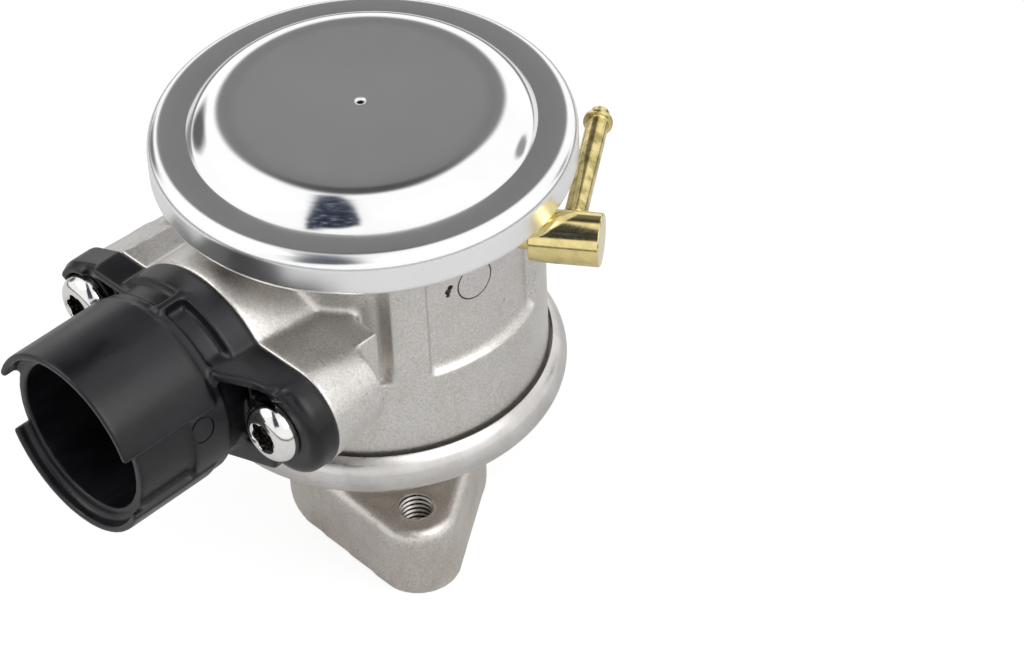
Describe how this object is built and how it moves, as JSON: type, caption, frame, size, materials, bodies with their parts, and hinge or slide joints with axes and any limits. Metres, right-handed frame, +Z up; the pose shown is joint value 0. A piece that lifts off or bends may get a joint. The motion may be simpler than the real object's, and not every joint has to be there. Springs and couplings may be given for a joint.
{
  "type": "secondary air valve",
  "caption": "Vacuum-operated air valve: sprung diaphragm and poppet in a cast body, with a hose connector, a vacuum hose tail and a two-lug outlet flange.",
  "frame": {"origin": "centre of the outlet port on the flange's mounting face", "axes": "+Z up the valve axis from the flange to the cover; the hose connector looks towards -Y; +X is the side of the recessed panel"},
  "size_m": [0.0764, 0.1056, 0.0845],
  "materials": {
    "cast_body": "fine shot-blasted die casting",
    "cast_base": "die casting with light stains",
    "clamp_ring": "satin rolled sheet",
    "cover_steel": "bright pressed sheet, satin on top",
    "steel": "machined",
    "zinc_plate": "zinc plated",
    "screw_steel": "bright plated",
    "bronze": "sintered",
    "yellow_passivate": "glossy yellow passivated",
    "black_nylon": "moulded glass-filled nylon",
    "seal_rubber": "moulded rubber"
  },
  "bodies": {
    "housing": {"valve_body": "cast_body", "base_flange": "cast_base", "lower_clamp_ring": "clamp_ring", "joint_seal": "seal_rubber", "valve_seat": "steel", "diaphragm_cover": "cover_steel", "diaphragm": "seal_rubber", "stem_guide": "bronze", "stem_seal": "seal_rubber", "return_spring": "steel", "spring_seat": "steel", "hose_connector": "black_nylon", "connector_o_ring": "seal_rubber", "ear_sleeves": "bronze", "connector_screws": "screw_steel", "vacuum_elbow": "yellow_passivate", "hose_tail": "yellow_passivate"},
    "valve": {"stem": "steel", "stem_nut": "zinc_plate", "upper_diaphragm_plate": "steel", "lower_diaphragm_plate": "steel", "valve_disc": "steel", "disc_seal": "seal_rubber", "disc_washer": "zinc_plate", "disc_nut": "zinc_plate"}
  },
  "joints": [
    {"name": "valve_stroke", "type": "slide", "parent": "housing", "child": "valve", "axis": [0, 0, -1], "range_m": [0, 0.0045], "stiffness_N_per_m": 1500, "springref_m": -0.008, "deforming": ["return_spring", "diaphragm"]}
  ]
}
